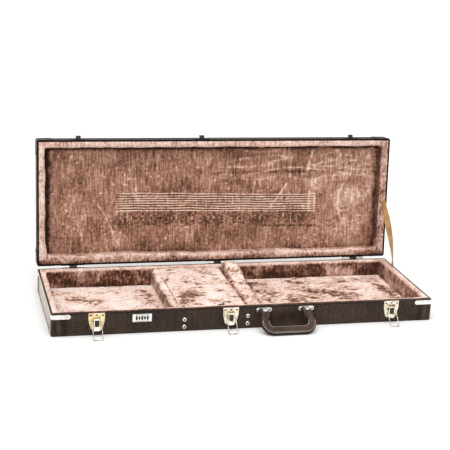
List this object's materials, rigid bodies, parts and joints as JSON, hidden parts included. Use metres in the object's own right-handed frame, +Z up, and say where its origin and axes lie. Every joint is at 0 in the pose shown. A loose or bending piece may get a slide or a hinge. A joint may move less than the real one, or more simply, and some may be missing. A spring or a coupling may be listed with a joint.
{
  "type": "guitar case",
  "caption": "Rectangular hard guitar case standing open: hinged lid and tray lined with plush, draw latches, carrying handle, accessory compartment, neck cradle and stay strap.",
  "frame": {"origin": "centre of the tray's underside, on the surface that the case lies on", "axes": "+X along the case from the headstock end to the body end, -Y towards the handle and latches, +Z up"},
  "size_m": [1.055, 0.5066, 0.4287],
  "materials": {
    "bright_metal": "nickel plate",
    "corner_vinyl": "dark brown grained vinyl, gathered at the corners",
    "dark_metal": "dark lacquered steel",
    "handle_leather": "brown stitched leatherette",
    "latch_metal": "pale brass plate, worn",
    "plush": "pale pink long-pile plush",
    "plush_lid": "dusty rose crushed plush",
    "plush_rim": "pink plush over foam",
    "plywood": "raw plywood",
    "steel": "plain steel",
    "strap_leather": "tan leather",
    "vinyl": "dark brown grained vinyl covering, matt"
  },
  "bodies": {
    "tray": {"body_floor_pad": "plush", "handle_brackets": "latch_metal", "headstock_floor_pad": "plush", "hinge_pins": "dark_metal", "hinge_tray_leaves": "dark_metal", "latch_pins": "latch_metal", "latch_plate_left": "latch_metal", "latch_plate_middle": "latch_metal", "latch_plate_right": "latch_metal", "nameplate": "bright_metal", "neck_cradle": "plush", "partition_eyelets": "bright_metal", "partition_left": "plywood", "partition_pad": "plush", "partition_right": "plywood", "stay_strap": "strap_leather", "strap_stud": "dark_metal", "tray_back_board": "plywood", "tray_base_cover": "vinyl", "tray_bottom_panel": "plywood", "tray_corner_clamps": "bright_metal", "tray_corner_wraps": "corner_vinyl", "tray_front_board": "plywood", "tray_left_board": "plywood", "tray_lining_back": "plush_rim", "tray_lining_front": "plush_rim", "tray_lining_left": "plush_rim", "tray_lining_right": "plush_rim", "tray_nails": "bright_metal", "tray_right_board": "plywood", "tray_rivets": "latch_metal", "tray_side_cover": "vinyl"},
    "lid": {"hinge_lid_leaves": "dark_metal", "keepers": "dark_metal", "lid_back_board": "plywood", "lid_corner_clamps": "dark_metal", "lid_corner_wraps": "corner_vinyl", "lid_cover": "vinyl", "lid_front_board": "plywood", "lid_left_board": "plywood", "lid_lining_back": "plush_rim", "lid_lining_front": "plush_rim", "lid_lining_left": "plush_rim", "lid_lining_panel": "plush_lid", "lid_lining_right": "plush_rim", "lid_nails": "dark_metal", "lid_right_board": "plywood", "lid_rivets": "dark_metal", "lid_top_panel": "plywood"},
    "handle": {"handle_grip": "handle_leather", "handle_core": "steel", "handle_rings": "latch_metal"},
    "compartment_lid": {"compartment_lid_board": "plywood", "compartment_lid_pad": "plush"},
    "latch_lever_left": {"latch_lever_left": "latch_metal"},
    "latch_bail_left": {"latch_bail_left": "latch_metal"},
    "latch_lever_middle": {"latch_lever_middle": "latch_metal"},
    "latch_bail_middle": {"latch_bail_middle": "latch_metal"},
    "latch_lever_right": {"latch_lever_right": "latch_metal"},
    "latch_bail_right": {"latch_bail_right": "latch_metal"}
  },
  "joints": [
    {"name": "lid_hinge", "type": "hinge", "parent": "tray", "child": "lid", "pos_m": [0, 0.1826, 0.06125], "axis": [-1, 0, 0], "range_deg": [-95.4, 0], "deforming": ["stay_strap"]},
    {"name": "handle_pivot", "type": "hinge", "parent": "tray", "child": "handle", "pos_m": [0.099, -0.187, 0.05], "axis": [-1, 0, 0], "range_deg": [-46, 128]},
    {"name": "compartment_lid_hinge", "type": "hinge", "parent": "tray", "child": "compartment_lid", "pos_m": [-0.176, 0, 0.0562], "axis": [0, -1, 0], "range_deg": [0, 100]},
    {"name": "latch_lever_left_pivot", "type": "hinge", "parent": "tray", "child": "latch_lever_left", "pos_m": [-0.404, -0.1845, 0.046], "axis": [-1, 0, 0], "range_deg": [0, 150]},
    {"name": "latch_bail_left_pivot", "type": "hinge", "parent": "latch_lever_left", "child": "latch_bail_left", "pos_m": [-0.404, -0.1845, 0.036], "axis": [1, 0, 0], "range_deg": [-136.4, 42]},
    {"name": "latch_lever_middle_pivot", "type": "hinge", "parent": "tray", "child": "latch_lever_middle", "pos_m": [-0.05, -0.1845, 0.046], "axis": [-1, 0, 0], "range_deg": [0, 150]},
    {"name": "latch_bail_middle_pivot", "type": "hinge", "parent": "latch_lever_middle", "child": "latch_bail_middle", "pos_m": [-0.05, -0.1845, 0.036], "axis": [1, 0, 0], "range_deg": [-136.4, 42]},
    {"name": "latch_lever_right_pivot", "type": "hinge", "parent": "tray", "child": "latch_lever_right", "pos_m": [0.401, -0.1845, 0.046], "axis": [-1, 0, 0], "range_deg": [0, 150]},
    {"name": "latch_bail_right_pivot", "type": "hinge", "parent": "latch_lever_right", "child": "latch_bail_right", "pos_m": [0.401, -0.1845, 0.036], "axis": [1, 0, 0], "range_deg": [-136.4, 42]}
  ]
}
